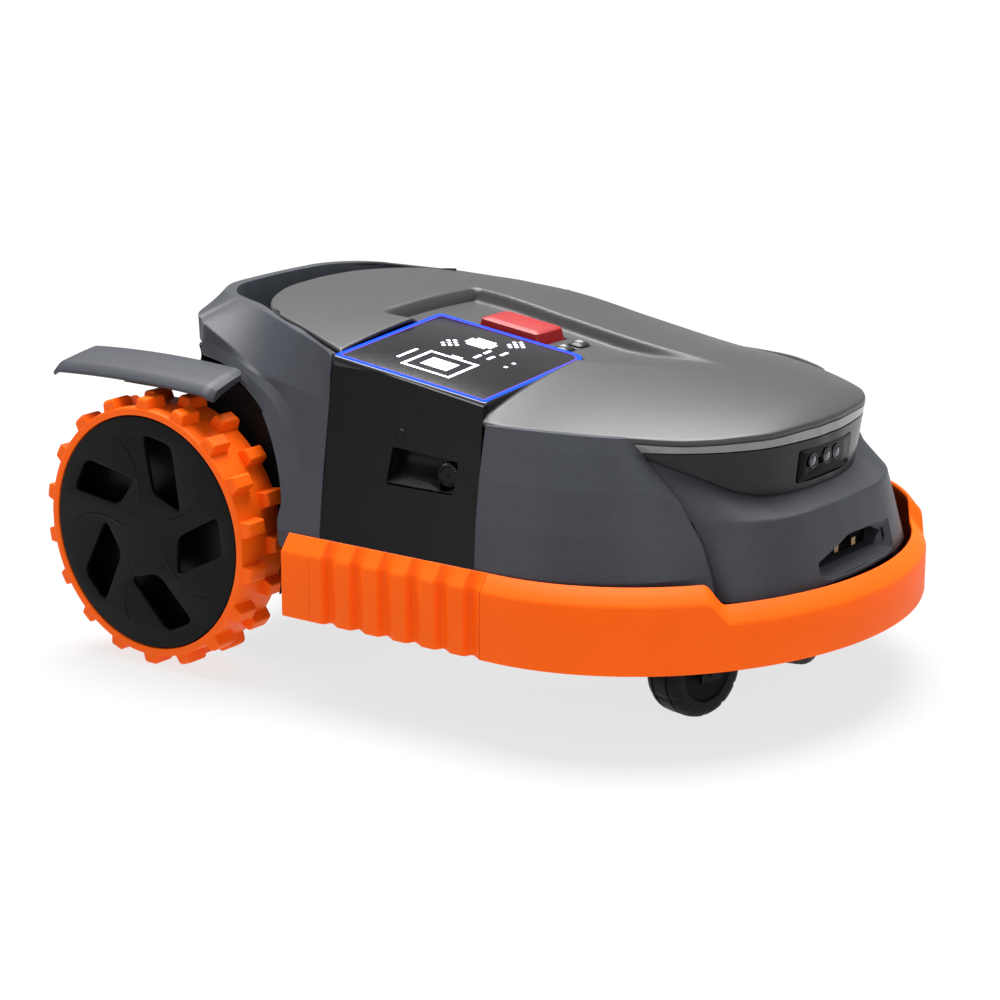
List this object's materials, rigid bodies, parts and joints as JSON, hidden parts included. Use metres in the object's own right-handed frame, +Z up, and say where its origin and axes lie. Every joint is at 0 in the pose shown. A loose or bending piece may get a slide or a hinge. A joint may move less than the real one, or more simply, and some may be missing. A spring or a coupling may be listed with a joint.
{
  "type": "robotic lawn mower",
  "caption": "Robotic lawn mower: low body with carry handle, lugged drive wheels, swivel casters, soft bumper skirt, height-adjustable blade disc and display.",
  "frame": {"origin": "on the ground, below the middle of the mower's bounding box", "axes": "+X forward, +Y to the mower's left, +Z up"},
  "size_m": [0.545, 0.395, 0.2365],
  "materials": {
    "body_grey": "fine sparkle texture",
    "lid_grey": "satin",
    "chassis_black": "moulded",
    "panel_black": "satin gloss",
    "skirt_orange": "soft moulded",
    "tyre_orange": "moulded",
    "tyre_black": "moulded",
    "hub_black": "satin",
    "display_black": "polished",
    "light_blue": "lit",
    "stop_red": "satin",
    "key_black": "satin",
    "lens_glass": "clear",
    "diffuser": "frosted",
    "steel": "machined",
    "motor_metal": "coated",
    "carriage_plastic": "moulded",
    "contact_brass": "bare",
    "battery_wrap": "wrapped",
    "board_green": "laminate"
  },
  "bodies": {
    "chassis": {"chassis": "chassis_black", "main_shell": "body_grey", "top_lid": "lid_grey", "control_tray": "lid_grey", "handle_well": "chassis_black", "side_panel": "panel_black", "recess_cup": "chassis_black", "caster_rings": "steel", "underside_screws": "steel", "display_light_frame": "light_blue", "display_glass": "display_black", "display_housing": "chassis_black", "nose_cover": "body_grey", "charge_port": "chassis_black", "charge_contacts": "contact_brass", "front_fascia": "panel_black", "camera_window": "lens_glass", "light_band": "diffuser", "camera_lenses": "lens_glass", "fenders": "body_grey", "fender_brackets": "chassis_black", "wheel_arch_liners": "chassis_black", "drive_gearmotors": "motor_metal", "axle_seals": "tyre_black", "skirt_ends": "skirt_orange", "skirt_bellows": "skirt_orange", "bumper_guide_pins": "steel", "bumper_buffers": "tyre_black", "lift_rods": "steel", "battery_pack": "battery_wrap", "main_board": "board_green"},
    "drive_wheel_right": {"drive_tyre_right": "tyre_orange", "wheel_rim_right": "hub_black", "hubcap_right": "hub_black", "drive_axle_right": "steel"},
    "drive_wheel_left": {"drive_tyre_left": "tyre_orange", "wheel_rim_left": "hub_black", "hubcap_left": "hub_black", "drive_axle_left": "steel"},
    "caster_swivel_right": {"caster_fork_right": "hub_black"},
    "caster_swivel_left": {"caster_fork_left": "hub_black"},
    "caster_wheel_right": {"caster_tyre_right": "tyre_black", "caster_hub_right": "hub_black"},
    "caster_wheel_left": {"caster_tyre_left": "tyre_black", "caster_hub_left": "hub_black"},
    "bumper": {"bumper_skin": "skirt_orange", "bumper_carrier": "chassis_black"},
    "cutter_carriage": {"lift_carriage": "carriage_plastic", "cutter_motor": "motor_metal"},
    "blade_disc": {"blade_disc": "steel", "blade_screws": "steel"},
    "blade_1": {"blade_1": "steel"},
    "blade_2": {"blade_2": "steel"},
    "blade_3": {"blade_3": "steel"},
    "lift_screw": {"lift_screw": "steel"},
    "height_knob": {"height_knob": "panel_black", "knob_shaft": "steel"},
    "stop_button": {"stop_button": "stop_red"},
    "start_button": {"start_button": "key_black"},
    "home_button": {"home_button": "key_black"}
  },
  "joints": [
    {"name": "drive_right", "type": "hinge", "parent": "chassis", "child": "drive_wheel_right", "pos_m": [-0.18, -0.175, 0.0925], "axis": [0, 1, 0], "continuous": true},
    {"name": "drive_left", "type": "hinge", "parent": "chassis", "child": "drive_wheel_left", "pos_m": [-0.18, 0.175, 0.0925], "axis": [0, 1, 0], "continuous": true},
    {"name": "caster_turn_right", "type": "hinge", "parent": "chassis", "child": "caster_swivel_right", "pos_m": [0.1693, -0.0772, 0.08], "axis": [0, 0, 1], "continuous": true},
    {"name": "caster_turn_left", "type": "hinge", "parent": "chassis", "child": "caster_swivel_left", "pos_m": [0.1693, 0.0772, 0.08], "axis": [0, 0, 1], "continuous": true},
    {"name": "caster_roll_right", "type": "hinge", "parent": "caster_swivel_right", "child": "caster_wheel_right", "pos_m": [0.1718, -0.06546, 0.032], "axis": [0.9781, -0.2079, 0], "continuous": true},
    {"name": "caster_roll_left", "type": "hinge", "parent": "caster_swivel_left", "child": "caster_wheel_left", "pos_m": [0.1718, 0.06546, 0.032], "axis": [-0.9781, -0.2079, 0], "continuous": true},
    {"name": "bumper_push", "type": "slide", "parent": "chassis", "child": "bumper", "axis": [-1, 0, 0], "range_m": [0, 0.0045], "stiffness_N_per_m": 1500, "springref_m": -0.002, "deforming": ["skirt_bellows", "bumper_buffers"]},
    {"name": "cutter_lift", "type": "slide", "parent": "chassis", "child": "cutter_carriage", "axis": [0, 0, 1], "range_m": [-0.02, 0.02]},
    {"name": "screw_turn", "type": "hinge", "parent": "chassis", "child": "lift_screw", "pos_m": [0.0475, 0, 0.12], "axis": [0, 0, 1], "range_deg": [-302, 302]},
    {"name": "knob_turn", "type": "hinge", "parent": "chassis", "child": "height_knob", "pos_m": [0.0475, -0.1, 0.159], "axis": [0, -1, 0], "range_deg": [-302, 302]},
    {"name": "disc_spin", "type": "hinge", "parent": "cutter_carriage", "child": "blade_disc", "pos_m": [0.005, 0, 0.0395], "axis": [0, 0, 1], "continuous": true},
    {"name": "blade_swing_1", "type": "hinge", "parent": "blade_disc", "child": "blade_1", "pos_m": [0.067, 0, 0.0362], "axis": [0, 0, 1], "continuous": true},
    {"name": "blade_swing_2", "type": "hinge", "parent": "blade_disc", "child": "blade_2", "pos_m": [-0.026, 0.05369, 0.0362], "axis": [0, 0, 1], "continuous": true},
    {"name": "blade_swing_3", "type": "hinge", "parent": "blade_disc", "child": "blade_3", "pos_m": [-0.026, -0.05369, 0.0362], "axis": [0, 0, 1], "continuous": true},
    {"name": "stop_press", "type": "slide", "parent": "chassis", "child": "stop_button", "axis": [0, 0, -1], "range_m": [0, 0.004], "stiffness_N_per_m": 800, "springref_m": -0.002},
    {"name": "start_press", "type": "slide", "parent": "chassis", "child": "start_button", "axis": [0, 0, -1], "range_m": [0, 0.0015], "stiffness_N_per_m": 600, "springref_m": -0.001},
    {"name": "home_press", "type": "slide", "parent": "chassis", "child": "home_button", "axis": [0, 0, -1], "range_m": [0, 0.0015], "stiffness_N_per_m": 600, "springref_m": -0.001}
  ],
  "couplings": [
    {"joint": "screw_turn", "follows": "cutter_lift", "rad_per_m": -261.8},
    {"joint": "knob_turn", "follows": "cutter_lift", "rad_per_m": -261.8}
  ]
}
